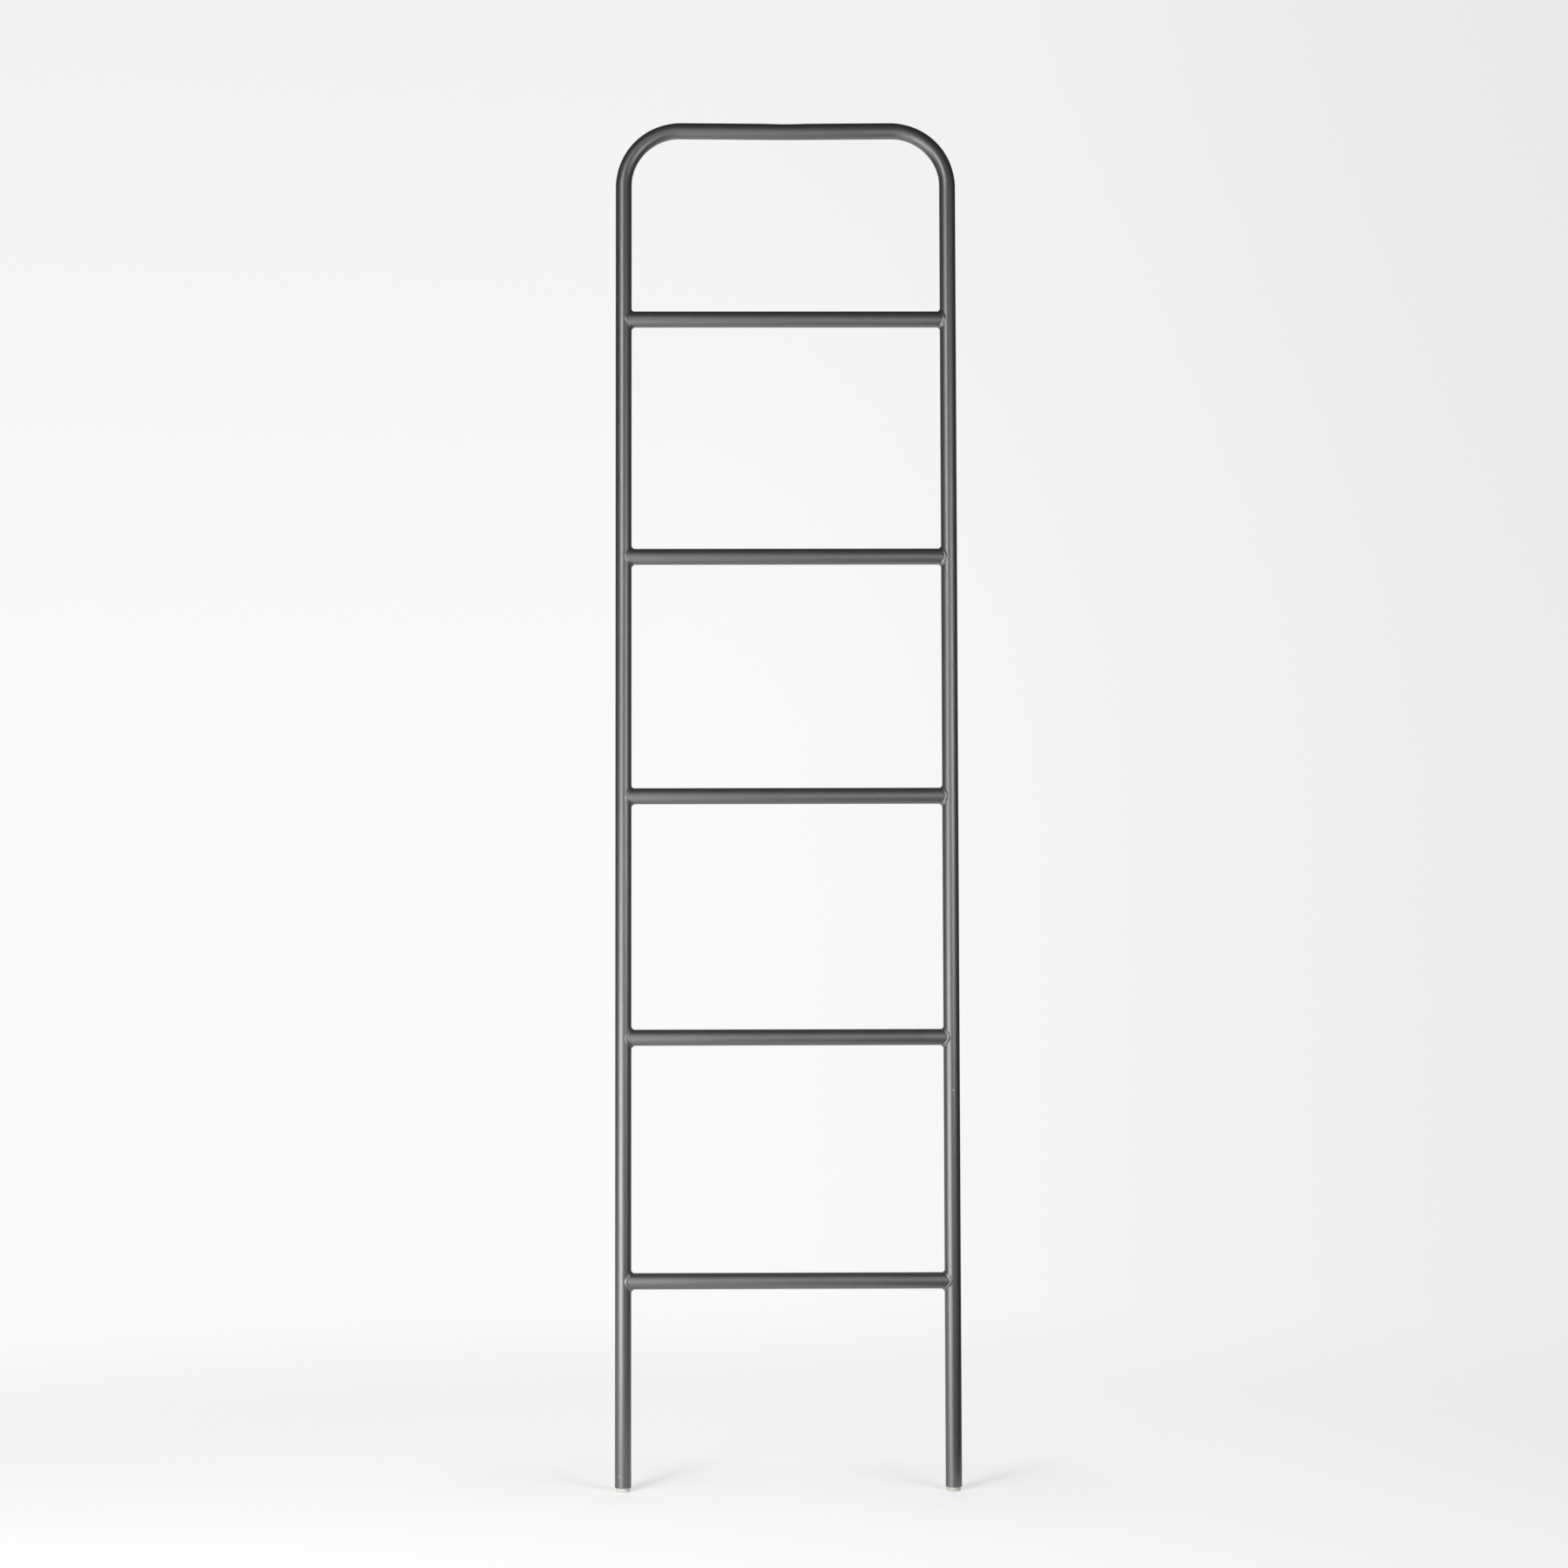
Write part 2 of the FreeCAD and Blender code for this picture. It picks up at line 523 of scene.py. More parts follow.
def place_piece(piece: bpy.types.Object, node: str | None = None) -> None:
    """Puts a piece on the ladder's body.

    Args:
        piece: The new piece.
        node: Solid that it stands for, if there is one.
    """
    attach(piece, "root")
    if node is not None:
        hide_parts(node)
    LOG.info("%s: %d faces", piece.name, len(piece.data.polygons))


def smooth(value: float) -> float:
    """Smooth step of a value between 0 and 1."""
    bounded = min(1.0, max(0.0, value))
    return bounded * bounded * (3 - 2 * bounded)


def spread(start: float, end: float, steps: int) -> list[float]:
    """Evenly spaced values from start to end, one more than there are steps."""
    return [start + (end - start) * i / steps for i in range(steps + 1)]


def turns(count: int) -> list[float]:
    """Evenly spaced angles of a full turn."""
    return [math.tau * i / count for i in range(count)]


def circle(radius: float, x: float, z: float, count: int) -> list[Vector]:
    """Points of a level circle around an upright axis in the ladder's middle plane."""
    return [Vector((x + radius * math.cos(a), radius * math.sin(a), z)) for a in turns(count)]


@dataclass
class HoopMiddle:
    """What the butt weld did to the hoop: a hollow dressed into its top, and a slight pull on both halves."""

    axis_z: float = HOOP_Z
    depth: float = 0.5 * MM
    length: float = 56 * MM
    pull: float = 1.0 * MM
    reach: float = 139.85 * MM

    def dressed(self, point: Vector) -> Vector:
        """Brings a point of the tube's outside in to the dressed hollow.

        Args:
            point: Point on the round tube.

        Returns:
            The point, moved towards the tube's axis on the upper side.
        """
        share = 1 - (2 * point.x / self.length) ** 2
        out = point - Vector((point.x, 0, self.axis_z))
        if share <= 0 or out.z <= 0:
            return point
        return point - out.normalized() * (self.depth * share * smooth(out.z / out.length))

    def pulled(self, point: Vector) -> Vector:
        """Lowers a point by the pull of the weld, most in the middle and not at all from the bends on."""
        drop = self.pull * max(0.0, 1 - abs(point.x) / self.reach)
        return point - Vector((0, 0, drop))


@dataclass
class Stile:
    """Upright tube, bent over at the top and run to the middle of the hoop."""

    side: Side
    radius: float = TUBE_RADIUS
    bore: float = BORE_RADIUS
    axis_x: float = STILE_X
    hoop_z: float = HOOP_Z
    bend_radius: float = 75 * MM
    foot_end: float = 5.5 * MM
    face_half: float = 1.3 * MM
    root_half: float = 0.5 * MM
    flattening: float = 0.03
    flattening_ramp: float = 14.0
    edge_round: float = 0.35 * MM
    dressing_margin: float = 4 * MM
    segments: int = 72
    leg_steps: int = 40
    bend_steps: int = 26
    hoop_steps: int = 8
    dressed_steps: int = 18
    middle: HoopMiddle = field(default_factory=HoopMiddle)

    def stations(self) -> list[tuple[Vector, Vector, float]]:
        """Path of the tube on the right side.

        Returns:
            Centre, outward direction and flattening of each ring, from the foot to the hoop's middle.
        """
        bend_z = self.hoop_z - self.bend_radius
        bend_x = self.axis_x - self.bend_radius
        leg = spread(self.foot_end + self.edge_round, bend_z, self.leg_steps)[:-1]
        path = [(Vector((self.axis_x, 0, z)), Vector((1, 0, 0)), 0.0) for z in leg]
        for turn in spread(0.0, QUARTER_TURN, self.bend_steps):
            out = Vector((math.cos(turn), 0, math.sin(turn)))
            centre = Vector((bend_x, 0, bend_z)) + out * self.bend_radius
            ramp = smooth(min(turn, QUARTER_TURN - turn) / math.radians(self.flattening_ramp))
            path.append((centre, out, self.flattening * ramp))
        dressed = self.middle.length / 2 + self.dressing_margin
        hoop = spread(bend_x, dressed, self.hoop_steps)[1:]
        hoop += spread(dressed, self.face_half, self.dressed_steps)[1:]
        path.extend((Vector((x, 0, self.hoop_z)), Vector((0, 0, 1)), 0.0) for x in hoop)
        return path

    def loop(self, centre: Vector, out: Vector, flat: float, radius: float) -> list[Vector]:
        """One ring of the tube.

        Args:
            centre: Centre of the ring on the right side.
            out: Direction away from the middle of the bend.
            flat: Share by which the bend has narrowed the tube.
            radius: Radius before that.

        Returns:
            The ring's points, on this stile's own side.
        """
        points = []
        for angle in turns(self.segments):
            across = out * (radius * math.cos(angle) * (1 - flat))
            depth = Vector((0, radius * math.sin(angle) * (1 + flat / 2), 0))
            point = centre + across + depth
            if radius > self.bore:
                point = self.middle.dressed(point)
            point = self.middle.pulled(point)
            points.append(Vector((point.x * self.side.value, point.y, point.z)))
        return points

    def build(self, coat: bpy.types.Material) -> bpy.types.Object:
        """Makes the tube.

        Args:
            coat: Its finish.

        Returns:
            The piece.
        """
        path = self.stations()
        foot, out = Vector((self.axis_x, 0, self.foot_end)), Vector((1, 0, 0))
        root, up = Vector((self.root_half, 0, self.hoop_z)), Vector((0, 0, 1))
        rings = [self.loop(foot, out, 0.0, self.radius - self.edge_round)]
        rings += [self.loop(centre, away, flat, self.radius) for centre, away, flat in path]
        rings.append(self.loop(root, up, 0.0, self.bore))
        rings += [self.loop(centre, away, flat, self.bore) for centre, away, flat in reversed(path)]
        rings.append(self.loop(foot, out, 0.0, self.bore))
        piece = Surface.from_rings(rings, Ends.JOINED).build(f"{self.side.word}_stile_tube", coat)
        place_piece(piece, f"{self.side.word}_stile")
        return piece


@dataclass
class HoopWeld:
    """Weld ring between the two halves of the hoop, dressed nearly flush."""

    radius: float = TUBE_RADIUS
    bore: float = BORE_RADIUS
    hoop_z: float = HOOP_Z
    face_half: float = 1.3 * MM
    root_half: float = 0.5 * MM
    crown: float = 0.06 * MM
    unevenness: float = 0.03 * MM
    waves: float = 2.2
    segments: int = 72
    face_steps: int = 6
    middle: HoopMiddle = field(default_factory=HoopMiddle)

    def loop(self, x: float, radius: float) -> list[Vector]:
        """One ring of the weld.

        Args:
            x: Distance from the middle of the hoop.
            radius: Radius of the ring.

        Returns:
            The ring's points.
        """
        points = []
        for angle in turns(self.segments):
            reach = radius
            if radius > self.radius:
                spot = Vector((x / MM, self.waves * math.cos(angle), self.waves * math.sin(angle)))
                reach += self.unevenness * noise.noise(spot)
            point = Vector((x, reach * math.sin(angle), self.hoop_z + reach * math.cos(angle)))
            if radius > self.bore:
                point = self.middle.dressed(point)
            points.append(self.middle.pulled(point))
        return points

    def build(self, coat: bpy.types.Material) -> bpy.types.Object:
        """Makes the ring.

        Args:
            coat: Its finish.

        Returns:
            The piece.
        """
        outline = [(-self.root_half, self.bore), (self.root_half, self.bore)]
        for share in spread(1.0, -1.0, self.face_steps):
            outline.append((share * self.face_half, self.radius + self.crown * (1 - share**2)))
        rings = [self.loop(x, radius) for x, radius in outline]
        piece = Surface.from_rings(rings, Ends.JOINED).build("hoop_seam_ring", coat)
        place_piece(piece, "hoop_butt_weld")
        return piece


@dataclass
class Rung:
    """Straight tube with both ends coped to the stiles and the thin tips of the copes trimmed."""

    number: int
    height: float
    radius: float = TUBE_RADIUS
    bore: float = BORE_RADIUS
    axis_x: float = STILE_X
    stile_radius: float = TUBE_RADIUS
    fit_up: float = 0.2 * MM
    trimmed: float = 4.2 * MM
    segments: int = 72
    steps: int = 12
    bore_steps: int = 2

    def end_x(self, depth: float) -> float:
        """Distance of the coped end from the ladder's middle at a depth from the tube's axis plane."""
        cope = math.sqrt((self.stile_radius + self.fit_up) ** 2 - depth**2)
        return self.axis_x - max(cope, self.trimmed)

    def loop(self, share: float, radius: float) -> list[Vector]:
        """One ring of the tube.

        Args:
            share: Place along the rung, from -1 at the left end to 1 at the right end.
            radius: Radius of the ring.

        Returns:
            The ring's points.
        """
        points = []
        for angle in turns(self.segments):
            depth = radius * math.cos(angle)
            z = self.height + radius * math.sin(angle)
            points.append(Vector((share * self.end_x(depth), -depth, z)))
        return points

    def build(self, coat: bpy.types.Material) -> bpy.types.Object:
        """Makes the tube.

        Args:
            coat: Its finish.

        Returns:
            The piece.
        """
        rings = [self.loop(share, self.radius) for share in spread(-1.0, 1.0, self.steps)]
        rings += [self.loop(share, self.bore) for share in spread(1.0, -1.0, self.bore_steps)]
        piece = Surface.from_rings(rings, Ends.JOINED).build(f"rung_{self.number}_tube", coat)
        place_piece(piece, f"rung_{self.number}")
        return piece


@dataclass(frozen=True)
class Sway:
    """Slow unevenness along a hand-laid bead: how much, in how many waves, and which layer of noise."""

    amount: float
    waves: float
    layer: float


@dataclass
class Toes:
    """Where one section of a bead meets the stile and the rung."""

    stile: Vector
    stile_normal: Vector
    rung: Vector
    rung_normal: Vector

    @property
    def outward(self) -> Vector:
        """Direction midway between the two surfaces' normals."""
        return (self.stile_normal + self.rung_normal).normalized()


@dataclass
class CornerWeld:
    """Hand-laid fillet bead around one rung end, hollow in the corners and raised to a soft ridge in front.

    Its own corner has the stile on the Z axis and the rung along +X. An angle around the rung is 0 at the
    front and a quarter turn on top.
    """

    number: int
    side: Side
    height: float
    seed: int
    lip: float
    back_lip: float = 3.6 * MM
    radius: float = TUBE_RADIUS
    axis_x: float = STILE_X
    corner_leg: float = 3.3 * MM
    front_leg: float = 2.3 * MM
    corner_ease: float = 0.18
    hollow: float = 0.5 * MM
    crown: float = 0.5 * MM
    sag: float = 0.06
    fill_below: float = 0.6
    toe_sink: float = 0.12 * MM
    root_depth: float = 1.2 * MM
    ripple: float = 0.035 * MM
    ripple_pitch: float = 1.7 * MM
    ripple_bow: float = 2.2
    ripple_mean: float = 0.7
    tie_in: float = 0.22 * MM
    tie_width: float = 0.22
    leg_sway: Sway = Sway(0.16, waves=1.6, layer=1.0)
    rung_sway: Sway = Sway(0.12, waves=2.3, layer=2.0)
    crown_sway: Sway = Sway(0.4, waves=1.9, layer=3.0)
    tie_sway: Sway = Sway(0.35, waves=1.0, layer=4.0)
    ripple_sway: Sway = Sway(0.5, waves=3.0, layer=5.0)
    seam_sway: Sway = Sway(0.5 * MM, waves=1.4, layer=6.0)
    seed_step: float = 7.3
    sections: int = 320
    across: int = 12

    def uneven(self, sway: Sway, turn: float) -> float:
        """Unevenness of one kind at an angle around the rung."""
        x, y = sway.waves * math.cos(turn), sway.waves * math.sin(turn)
        return sway.amount * noise.noise(Vector((x, y, self.seed * self.seed_step + sway.layer)))

    def seam_x(self, turn: float) -> float:
        """Place of the bead's middle along the rung.

        Args:
            turn: Angle around the rung.

        Returns:
            Its distance from the stile's axis.
        """
        lip = self.lip if math.cos(turn) > 0 else self.back_lip
        wander = self.uneven(self.seam_sway, turn)
        return math.hypot(self.radius * math.sin(turn), (lip + wander) * math.cos(turn) ** 2)

    def toes(self, turn: float) -> Toes:
        """Edges of the bead, sunk a little into the tubes.

        Args:
            turn: Angle around the rung.

        Returns:
            The two toes there.
        """
        sine, cosine = math.sin(turn), math.cos(turn)
        seam = self.seam_x(turn)
        leg = self.corner_leg + (self.front_leg - self.corner_leg) * cosine**2
        leg *= 1 + self.uneven(self.leg_sway, turn)
        leg *= 1 + self.sag * max(0.0, -sine)
        rise = sine / math.hypot(sine, self.corner_ease)
        length = math.hypot(cosine, rise)
        arc = self.radius * math.atan2(self.radius * abs(cosine), seam) + leg * abs(cosine) / length
        around = arc / self.radius
        stile_normal = Vector((math.cos(around), math.copysign(math.sin(around), -cosine), 0))
        stile = stile_normal * (self.radius - self.toe_sink)
        stile.z = self.radius * sine + leg * rise / length
        rung_normal = Vector((0, -cosine, sine))
        rung = rung_normal * (self.radius - self.toe_sink)
        rung.x = seam + leg * (1 + self.uneven(self.rung_sway, turn))
        return Toes(stile, stile_normal, rung, rung_normal)

    def section(self, turn: float, run: float) -> list[Vector]:
        """Cross section of the bead.

        Args:
            turn: Angle around the rung.
            run: Length of bead laid so far, for the ripples.

        Returns:
            Points from the stile over the crown to the rung, and back through the root.
        """
        toes = self.toes(turn)
        front, below = math.cos(turn) ** 2, max(0.0, -math.sin(turn))
        from_tie = math.remainder(turn - self.uneven(self.tie_sway, 0.0), math.tau)
        crown = self.crown * front * (1 + self.uneven(self.crown_sway, turn))
        crown += self.tie_in * math.exp(-((from_tie / self.tie_width) ** 2))
        hollow = self.hollow * (1 - front) * (1 - self.fill_below * below)
        ripple = self.ripple * (self.ripple_mean + self.uneven(self.ripple_sway, turn))
        points = []
        for share in spread(0.0, 1.0, self.across):
            ridge = math.sin(math.pi * share) ** 2
            phase = math.tau * (run / self.ripple_pitch + self.ripple_bow * (share - 0.5) ** 2)
            lift = ridge * (crown + ripple * math.cos(phase)) - hollow * 4 * share * (1 - share)
            points.append(toes.stile.lerp(toes.rung, share) + toes.outward * lift)
        points.append(toes.rung - toes.rung_normal * self.root_depth)
        points.append(toes.stile.lerp(toes.rung, 0.5) - toes.outward * self.root_depth * 2)
        points.append(toes.stile - toes.stile_normal * self.root_depth)
        return points

    def settle(self, point: Vector) -> Vector:
        """Moves a point from the bead's own corner to its place on the ladder."""
        x = self.side.value * (self.axis_x - point.x)
        return Vector((x, point.y, point.z + self.height))

    def build(self, coat: bpy.types.Material) -> bpy.types.Object:
        """Makes the bead.

        Args:
            coat: Its finish.

        Returns:
            The piece.
        """
        run, last, rings = random.Random(self.seed).random() * self.ripple_pitch, None, []
        for turn in turns(self.sections):
            here = Vector((self.seam_x(turn), -self.radius * math.cos(turn), self.radius * math.sin(turn)))
            run += (here - last).length if last is not None else 0.0
            last = here
            rings.append([self.settle(point) for point in self.section(turn, run)])
        rung_end = f"rung_{self.number}_{self.side.word}"
        piece = Surface.from_rings(rings, Ends.JOINED).build(f"{rung_end}_bead", coat, crease=60.0)
        place_piece(piece, f"{rung_end}_weld")
        return piece


@dataclass
class PlugFoot:
    """Plastic plug with a round sole under the tube end and soft ribs in the bore."""

    side: Side
    axis_x: float = STILE_X
    sole_radius: float = 9.05 * MM
    height: float = 5.5 * MM
    edge_radius: float = 1.4 * MM
    waist: float = 0.6
    rim_chamfer: float = 0.25 * MM
    bore: float = BORE_RADIUS
    stem_radius: float = 7.35 * MM
    hollow_radius: float = 5.35 * MM
    floor_thickness: float = 3 * MM
    stem_length: float = 16 * MM
    ribs: int = 4
    rib_thickness: float = 1.2 * MM
    rib_clearance: float = 0.1 * MM
    gate_radius: float = 1.1 * MM
    gate_taper: float = 0.8
    gate_depth: float = 0.25 * MM
    middle_radius: float = 0.02 * MM
    segments: int = 64
    sole_steps: int = 4
    edge_steps: int = 8

    def outline(self) -> list[tuple[float, float]]:
        """Half section of the plug.

        Returns:
            Radius and height of its corners, from the gate mark round to the floor of the hollow.
        """
        sole = [
            (self.middle_radius, self.gate_depth),
            (self.gate_radius * self.gate_taper, self.gate_depth),
        ]
        flat_radius = self.sole_radius - self.edge_radius
        sole += [(radius, 0.0) for radius in spread(self.gate_radius, flat_radius, self.sole_steps)]
        for turn in spread(0.0, QUARTER_TURN, self.edge_steps)[1:]:
            radius = self.sole_radius - self.edge_radius * (1 - math.sin(turn))
            sole.append((radius, self.edge_radius * (1 - math.cos(turn))))
        side = [
            (self.sole_radius, self.height * self.waist),
            (self.sole_radius, self.height - self.rim_chamfer),
            (self.sole_radius - self.rim_chamfer, self.height),
            (self.stem_radius, self.height),
        ]
        pitch = self.stem_length / (self.ribs + 1)
        for i in range(self.ribs):
            rib = self.height + (i + 1) * pitch
            side.append((self.stem_radius, rib - self.rib_thickness / 2))
            side.append((self.bore - self.rib_clearance, rib - self.rib_thickness / 2))
            side.append((self.stem_radius, rib + self.rib_thickness / 2))
        top = self.height + self.stem_length
        inside = [
            (self.stem_radius, top),
            (self.hollow_radius, top),
            (self.hollow_radius, self.floor_thickness),
            (self.middle_radius, self.floor_thickness),
        ]
        return sole + side + inside

    def build(self, plastic: bpy.types.Material) -> bpy.types.Object:
        """Makes the plug.

        Args:
            plastic: Its finish.

        Returns:
            The piece.
        """
        x = self.side.value * self.axis_x
        rings = [circle(radius, x, height, self.segments) for radius, height in self.outline()]
        surface = Surface.from_rings(rings, Ends.CAPPED)
        piece = surface.build(f"{self.side.word}_plug_foot", plastic, crease=35.0)
        place_piece(piece, f"{self.side.word}_foot")
        return piece


@dataclass
class CoatNib:
    """Grain caught under the powder coat, a tiny hump on a stile, coated pale as a painted highlight."""

    side: Side
    height: float
    bearing: float
    width: float
    tall: float
    rise: float = 0.34 * MM
    toe_sink: float = 0.08 * MM
    tip_share: float = 0.04
    tube_radius: float = TUBE_RADIUS
    axis_x: float = STILE_X
    segments: int = 20
    steps: int = 6

    def build(self, coat: bpy.types.Material) -> bpy.types.Object:
        """Makes the hump.

        Args:
            coat: Its finish.

        Returns:
            The piece.
        """
        angle = math.radians(self.bearing)
        out = Vector((math.sin(angle), -math.cos(angle), 0))
        along = Vector((math.cos(angle), math.sin(angle), 0))
        base = Vector((self.side.value * self.axis_x, 0, self.height)) + out * self.tube_radius
        rings = []
        for share in spread(1.0, self.tip_share, self.steps):
            lift = self.rise * (math.cos(share * math.pi) + 1) / 2 - self.toe_sink * share
            across = along * (self.width / 2 * share)
            up = Vector((0, 0, self.tall / 2 * share))
            spokes = turns(self.segments)
            rings.append([base + out * lift + across * math.cos(a) + up * math.sin(a) for a in spokes])
        surface = Surface.from_rings(rings, Ends.CAPPED)
        piece = surface.build(f"{self.side.word}_stile_coat_nib", coat, crease=70.0)
        place_piece(piece)
        return piece


@dataclass
class SoftBox:
    """Flat soft lamp that faces the ladder."""

    name: str
    place: Vector
    aim: Vector
    width: float
    tall: float
    brightness: float

    def build(self) -> bpy.types.Object:
        """Hangs the lamp.

        Returns:
            The lamp.
        """
        lamp = bpy.data.lights.new(self.name, "AREA")
        lamp.shape = "RECTANGLE"
        lamp.size = self.width
        lamp.size_y = self.tall
        lamp.energy = self.brightness * math.pi * self.width * self.tall
        hung = bpy.data.objects.new(self.name, lamp)
        hung.location = self.place
        hung.rotation_mode = "QUATERNION"
        hung.rotation_quaternion = (self.aim - self.place).to_track_quat("-Z", "Y")
        hung.visible_camera = False
        bpy.context.scene.collection.objects.link(hung)
        return hung


@dataclass
class Studio:
    """Pale floor and air, dark room and cloth, and soft lamps."""

    floor_radius: float = 2.6
    floor_middle: float = 0.05
    floor_segments: int = 96
    floor_steps: int = 10
    room_half: float = 2.6
    room_front: float = -5.2
    room_back: float = 2.4
    room_top: float = 3.2
    opening_half: float = 1.8
    cloth_left: float = -1.5
    cloth_bend: Span = (-0.15, -0.5)
    cloth_right: float = 2.4
    cloth_height: float = MM
    low_air: Colour = (0.955, 0.955, 0.953)
    high_air: Colour = (0.89, 0.89, 0.888)
    climbing: Span = (0.04, 0.34)
    dim_air: Colour = (0.76, 0.76, 0.758)
    dim_share: float = 0.6
    dimming: Span = (-0.03, 0.28)

    def air(self) -> None:
        """Fills the studio with pale air, a little dimmer higher up and to the right."""
        world = bpy.data.worlds.new("studio_air")
        world.use_nodes = True
        graph = Graph(world.node_tree)
        direction = graph.add("ShaderNodeTexCoord", output="Generated")
        climb = graph.part(direction, "Z").ramped(*self.climbing)
        rightward = graph.part(direction, "X").ramped(*self.dimming)
        colour = graph.mix(climb, self.low_air, self.high_air)
        colour = graph.mix(rightward * self.dim_share, colour, self.dim_air)
        glow = graph.add("ShaderNodeBackground", sockets={"Color": colour, "Strength": 1.0})
        graph.add("ShaderNodeOutputWorld", sockets={"Surface": glow})
        bpy.context.scene.world = world

    def floor(self) -> bpy.types.Object:
        """Lays the round floor.

        Returns:
            The floor.
        """
        radii = spread(self.floor_radius, self.floor_middle, self.floor_steps)
        rings = [circle(radius, 0.0, 0.0, self.floor_segments) for radius in radii]
        paint = StudioFloor("studio_floor", self.dim_air, self.dim_share)
        piece = Surface.from_rings(rings, Ends.LAST_CAPPED).build("studio_floor", paint.material())
        return piece

    def room(self) -> bpy.types.Object:
        """Builds the dark walls and ceiling, with a wide opening at the back.

        Returns:
            The room, which only reflections and stray light meet.
        """
        heights, depths, sides = (0.0, self.room_top), (self.room_front, self.room_back), (-1, 1)
        points = [Vector((s * self.room_half, y, z)) for y in depths for z in heights for s in sides]
        points += [Vector((s * self.opening_half, self.room_back, z)) for z in heights for s in sides]
        front, ceiling, left, right = (0, 1, 3, 2), (2, 3, 7, 6), (0, 2, 6, 4), (1, 3, 7, 5)
        back_left, back_right = (4, 6, 10, 8), (5, 7, 11, 9)
        surface = Surface(points, [front, ceiling, left, right, back_left, back_right])
        piece = surface.build("studio_room", DarkPaint("studio_dark_wall").material())
        piece.visible_camera = False
        return piece

    def front_cloth(self) -> bpy.types.Object:
        """Lays the dark cloth on the floor, in front of the pale part and to the right of it.

        Returns:
            The cloth, which only reflections meet.
        """
        x, front = self.room_half, self.room_front
        corners = [(-x, front), (x, front), (x, self.cloth_right), self.cloth_bend, (-x, self.cloth_left)]
        points = [Vector((*corner, self.cloth_height)) for corner in corners]
        surface = Surface(points, [tuple(range(len(points)))])
        piece = surface.build("studio_front_cloth", DarkPaint("studio_dark_cloth").material())
        piece.visible_camera = False
        piece.visible_diffuse = False
        piece.visible_shadow = False
        return piece

    @staticmethod
    def lamps() -> list[SoftBox]:
        """Chooses the lamps.

        Returns:
            Two lamps on the left, one on the right, and a reflector that lies on the floor and shines up.
        """
        left_low = SoftBox(
            "left_low_softbox",
            place=Vector((-1.12, -1.53, 0.36)),
            aim=Vector((0, 0, 0.36)),
            width=1.50,
            tall=0.70,
            brightness=8.5,
        )
        left_high = SoftBox(
            "left_high_softbox",
            place=Vector((-1.20, -2.15, 1.82)),
            aim=Vector((0, 0, 1.50)),
            width=0.60,
            tall=0.65,
            brightness=19.5,
        )
        right = SoftBox(
            "right_softbox",
            place=Vector((1.12, -1.54, 1.06)),
            aim=Vector((0, 0, 1.06)),
            width=0.90,
            tall=0.75,
            brightness=6.9,
        )
        reflector = SoftBox(
            "floor_reflector",
            place=Vector((-0.50, -0.72, 0.02)),
            aim=Vector((-0.50, -0.72, 1.0)),
            width=0.50,
            tall=0.50,
            brightness=4.5,
        )
        return [left_low, left_high, right, reflector]

    def build(self) -> None:
        """Sets up air, floor, room and lamps."""
        self.air()
        for piece in (self.floor(), self.room(), self.front_cloth()):
            LOG.info("%s: studio", piece.name)
        for lamp in self.lamps():
            LOG.info("%s: lamp", lamp.build().name)


@dataclass
class PhotoCamera:
    """Camera at the photograph's place, a little below the middle of the ladder and tilted up."""

    place: Vector = field(default_factory=lambda: Vector((-0.04275, -4.0032, 0.69919)))
    pitch: float = 3.1494
    yaw: float = 0.5575
    roll: float = -0.1343
    lens: float = 70.0
    sensor: float = 36.0
    sight: float = 50.0

    def build(self) -> bpy.types.Object:
        """Sets up the camera.

        Returns:
            The scene's camera.
        """
        pitch, yaw, roll = (math.radians(angle) for angle in (self.pitch, self.yaw, self.roll))
        ahead = Vector((math.sin(yaw) * math.cos(pitch), math.cos(yaw) * math.cos(pitch), math.sin(pitch)))
        level = Vector((math.cos(yaw), -math.sin(yaw), 0))
        up = level.cross(ahead)
        right = level * math.cos(roll) + up * math.sin(roll)
        above = up * math.cos(roll) - level * math.sin(roll)
        turned = Matrix((right, above, -ahead)).transposed().to_4x4()
        data = bpy.data.cameras.new("photo_camera")
        data.lens = self.lens
        data.sensor_width = self.sensor
        data.clip_end = self.sight
        camera = bpy.data.objects.new("photo_camera", data)
        camera.matrix_world = Matrix.Translation(self.place) @ turned
        bpy.context.scene.collection.objects.link(camera)
        bpy.context.scene.camera = camera
        return camera


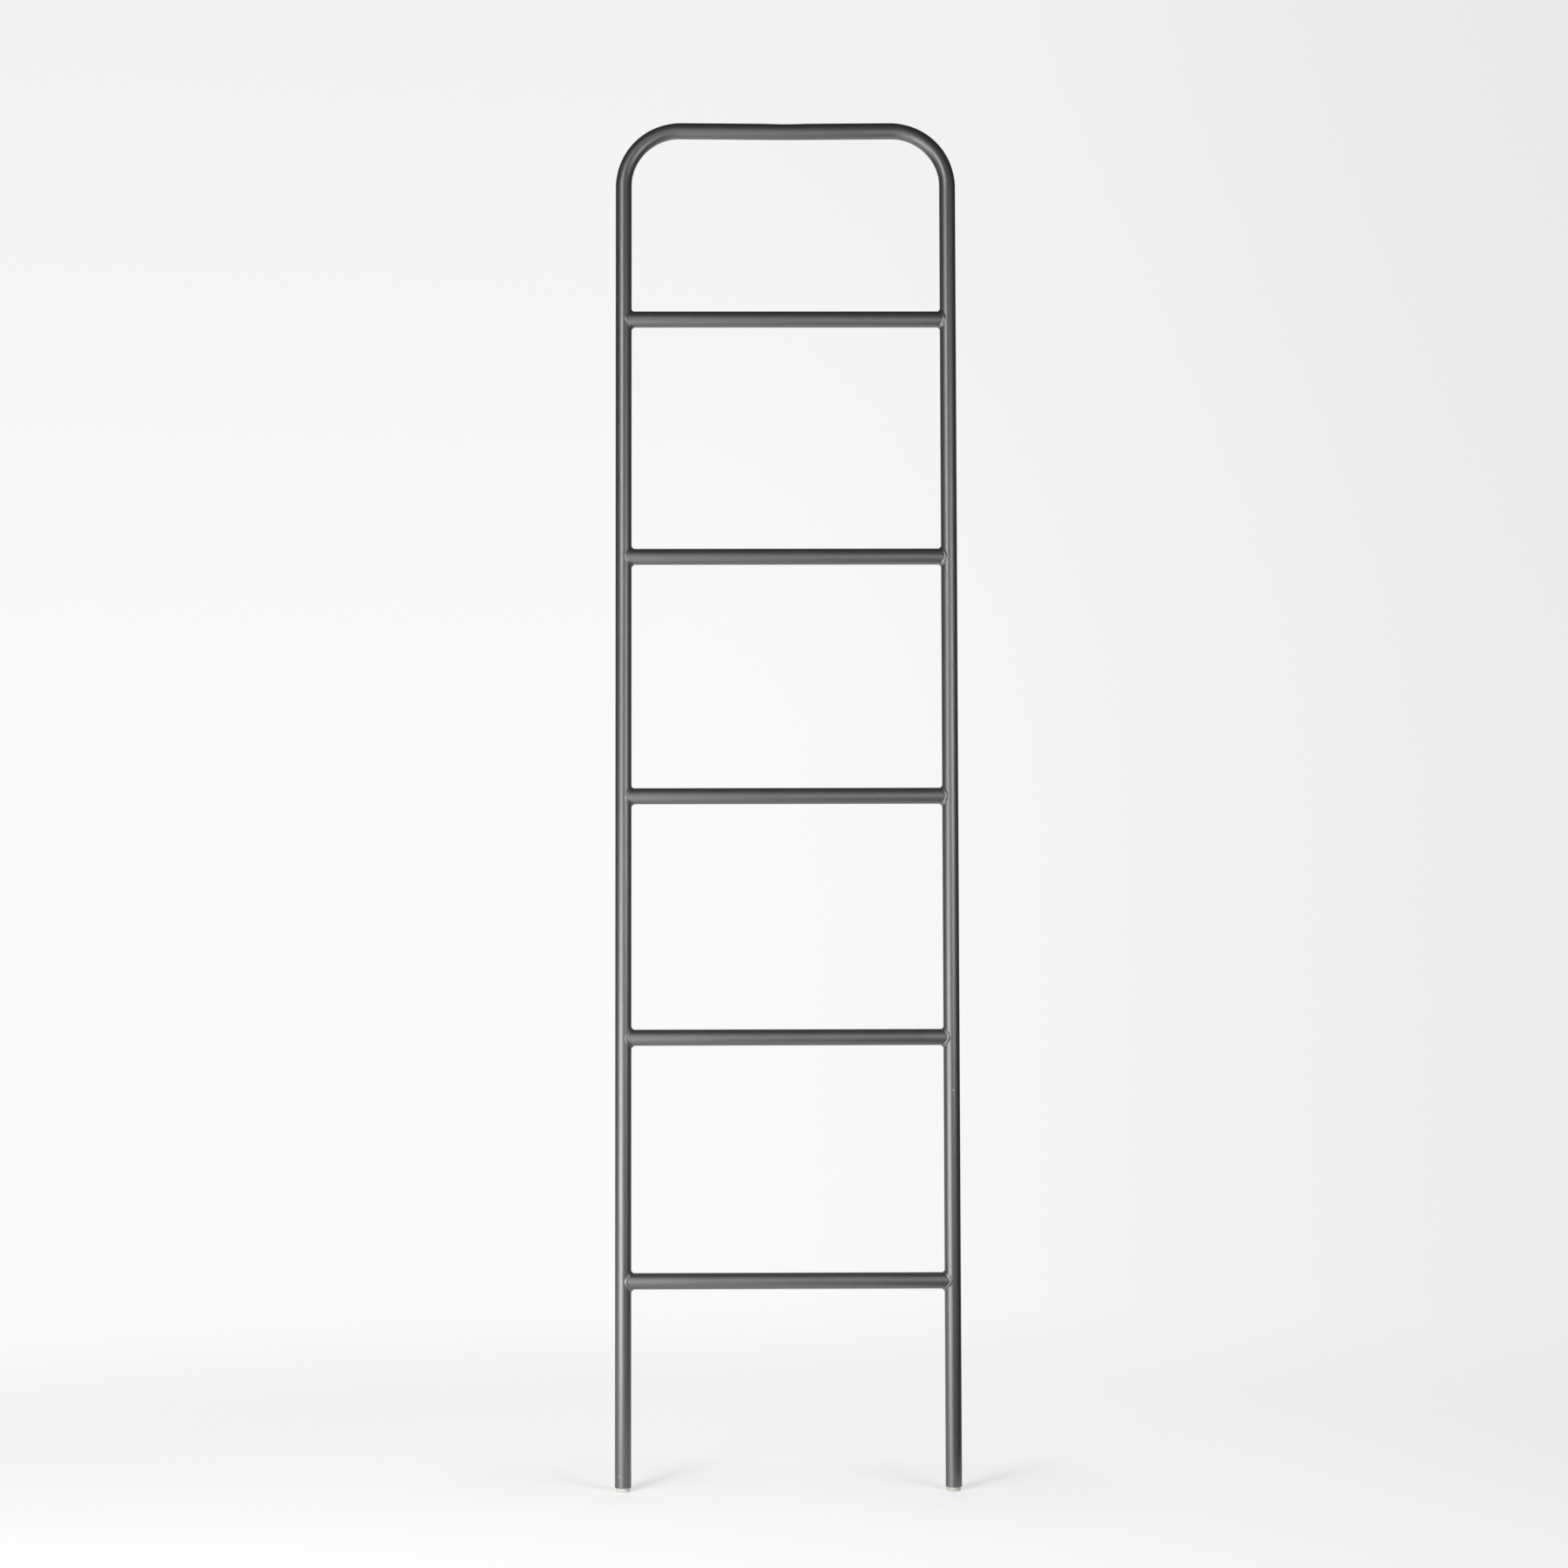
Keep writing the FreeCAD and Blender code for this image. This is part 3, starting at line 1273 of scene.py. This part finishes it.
@dataclass
class Ladder:
    """The whole ladder: stiles, hoop weld, rungs, corner welds, feet and the coat's small faults."""

    lowest_rung: float = 271 * MM
    top_rung: float = HOOP_Z - 253 * MM
    rungs: int = 5
    left_lips: tuple[float, ...] = (4.8 * MM, 4.0 * MM, 4.0 * MM, 3.5 * MM, 3.8 * MM)
    right_lips: tuple[float, ...] = (2.7 * MM, 3.8 * MM, 5.4 * MM, 4.8 * MM, 5.5 * MM)
    coat: PowderCoat = PowderCoat()
    # Pale coat of the nibs: a painted highlight.
    nib_highlight: PowderCoat = PowderCoat(
        "powder_coat_painted_highlight",
        shade=(0.15, 0.15, 0.147),
        light=(0.19, 0.19, 0.185),
    )
    plastic: MouldedPlastic = MouldedPlastic()
    aged: MouldedPlastic = MouldedPlastic(
        "moulded_plastic_aged",
        body=(0.655, 0.62, 0.575),
        warm=(0.60, 0.555, 0.50),
    )

    def build(self) -> None:
        """Makes every piece and puts it on the ladder."""
        coat = self.coat.material()
        for side in Side:
            Stile(side).build(coat)
        PlugFoot(Side.LEFT).build(self.plastic.material())
        PlugFoot(Side.RIGHT).build(self.aged.material())
        HoopWeld().build(coat)
        heights = spread(self.lowest_rung, self.top_rung, self.rungs - 1)
        for i, height in enumerate(heights):
            Rung(i + 1, height).build(coat)
            CornerWeld(i + 1, Side.LEFT, height, seed=2 * i + 1, lip=self.left_lips[i]).build(coat)
            CornerWeld(i + 1, Side.RIGHT, height, seed=2 * i + 2, lip=self.right_lips[i]).build(coat)
        # The nibs get the pale coat, a painted highlight.
        nib_highlight = self.nib_highlight.material()
        CoatNib(Side.LEFT, 21 * MM, bearing=-25.0, width=3.6 * MM, tall=2.8 * MM).build(nib_highlight)
        CoatNib(Side.RIGHT, 518 * MM, bearing=9.0, width=2.6 * MM, tall=4.2 * MM).build(nib_highlight)


def main() -> None:
    """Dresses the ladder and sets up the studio."""
    logging.basicConfig(level=logging.INFO, format="%(message)s")
    bpy.context.scene.view_settings.view_transform = "Standard"
    Ladder().build()
    Studio().build()
    PhotoCamera().build()


if __name__ == "__main__":
    main()
